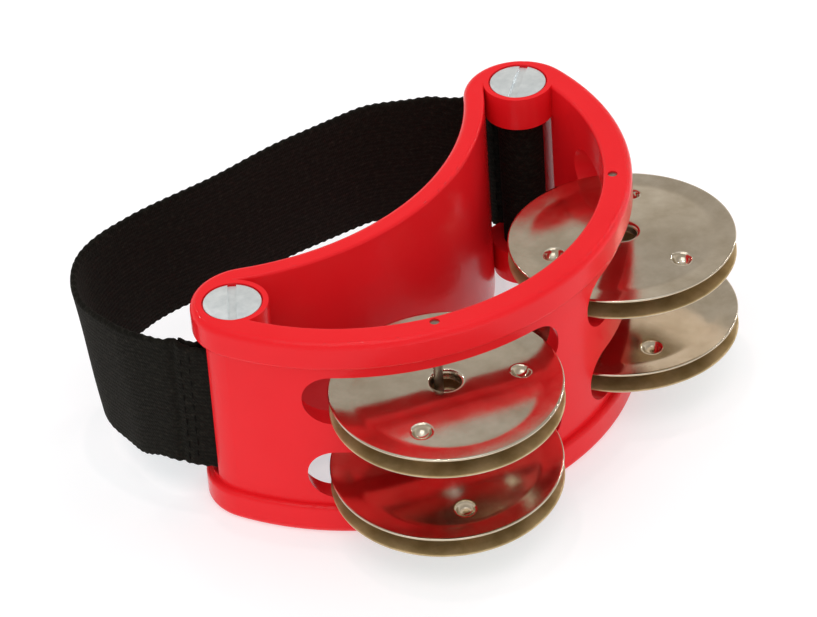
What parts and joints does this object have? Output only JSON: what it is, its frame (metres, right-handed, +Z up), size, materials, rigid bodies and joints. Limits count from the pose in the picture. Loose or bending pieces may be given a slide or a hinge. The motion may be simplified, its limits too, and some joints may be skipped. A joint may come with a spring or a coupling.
{
  "type": "foot tambourine",
  "caption": "Crescent foot tambourine: a hollow red frame with jingle pairs hung in slots on upright pins, and an elastic strap looped round a post in each tip.",
  "frame": {"origin": "on the ground, under the middle of the frame wall that faces the foot", "axes": "+X from the left tip to the right tip as seen with the jingles away from the wearer, +Y towards the heel side of the strap, +Z up"},
  "size_m": [0.123, 0.116, 0.0512],
  "materials": {
    "red_plastic": "gloss moulded",
    "black_elastic": "knitted elastic",
    "jingle_nickel": "nickel plated",
    "pin_steel": "drawn wire",
    "post_metal": "satin"
  },
  "bodies": {
    "frame": {"frame": "red_plastic", "left_jingle_pin": "pin_steel", "left_strap_post": "post_metal", "left_post_screw": "post_metal", "right_jingle_pin": "pin_steel", "right_strap_post": "post_metal", "right_post_screw": "post_metal", "elastic_strap": "black_elastic"},
    "left_lower_jingle_bottom": {"left_lower_jingle_bottom": "jingle_nickel"},
    "left_lower_jingle_top": {"left_lower_jingle_top": "jingle_nickel"},
    "left_upper_jingle_bottom": {"left_upper_jingle_bottom": "jingle_nickel"},
    "left_upper_jingle_top": {"left_upper_jingle_top": "jingle_nickel"},
    "right_lower_jingle_bottom": {"right_lower_jingle_bottom": "jingle_nickel"},
    "right_lower_jingle_top": {"right_lower_jingle_top": "jingle_nickel"},
    "right_upper_jingle_bottom": {"right_upper_jingle_bottom": "jingle_nickel"},
    "right_upper_jingle_top": {"right_upper_jingle_top": "jingle_nickel"}
  },
  "joints": [
    {"name": "left_lower_jingle_top_slide", "type": "slide", "parent": "frame", "child": "left_lower_jingle_top", "axis": [0, 0, 1], "range_m": [0, 0.0045]},
    {"name": "left_lower_jingle_bottom_spin", "type": "hinge", "parent": "frame", "child": "left_lower_jingle_bottom", "pos_m": [-0.03241, -0.03222, 0.01055], "axis": [-0.0461, -0.0401, 0.9981], "continuous": true},
    {"name": "left_upper_jingle_top_slide", "type": "slide", "parent": "frame", "child": "left_upper_jingle_top", "axis": [0, 0, 1], "range_m": [0, 0.0045]},
    {"name": "left_upper_jingle_bottom_spin", "type": "hinge", "parent": "frame", "child": "left_upper_jingle_bottom", "pos_m": [-0.03143, -0.0326, 0.03055], "axis": [-0.0198, -0.0172, 0.9997], "continuous": true},
    {"name": "right_lower_jingle_top_slide", "type": "slide", "parent": "frame", "child": "right_lower_jingle_top", "axis": [0, 0, 1], "range_m": [0, 0.0045]},
    {"name": "right_lower_jingle_bottom_spin", "type": "hinge", "parent": "frame", "child": "right_lower_jingle_bottom", "pos_m": [0.03256, -0.03165, 0.01055], "axis": [0.0198, 0.0172, 0.9997], "continuous": true},
    {"name": "right_upper_jingle_top_slide", "type": "slide", "parent": "frame", "child": "right_upper_jingle_top", "axis": [0, 0, 1], "range_m": [0, 0.0045]},
    {"name": "right_upper_jingle_bottom_spin", "type": "hinge", "parent": "frame", "child": "right_upper_jingle_bottom", "pos_m": [0.03256, -0.03165, 0.03055], "axis": [0.0224, 0.0195, 0.9996], "continuous": true}
  ]
}
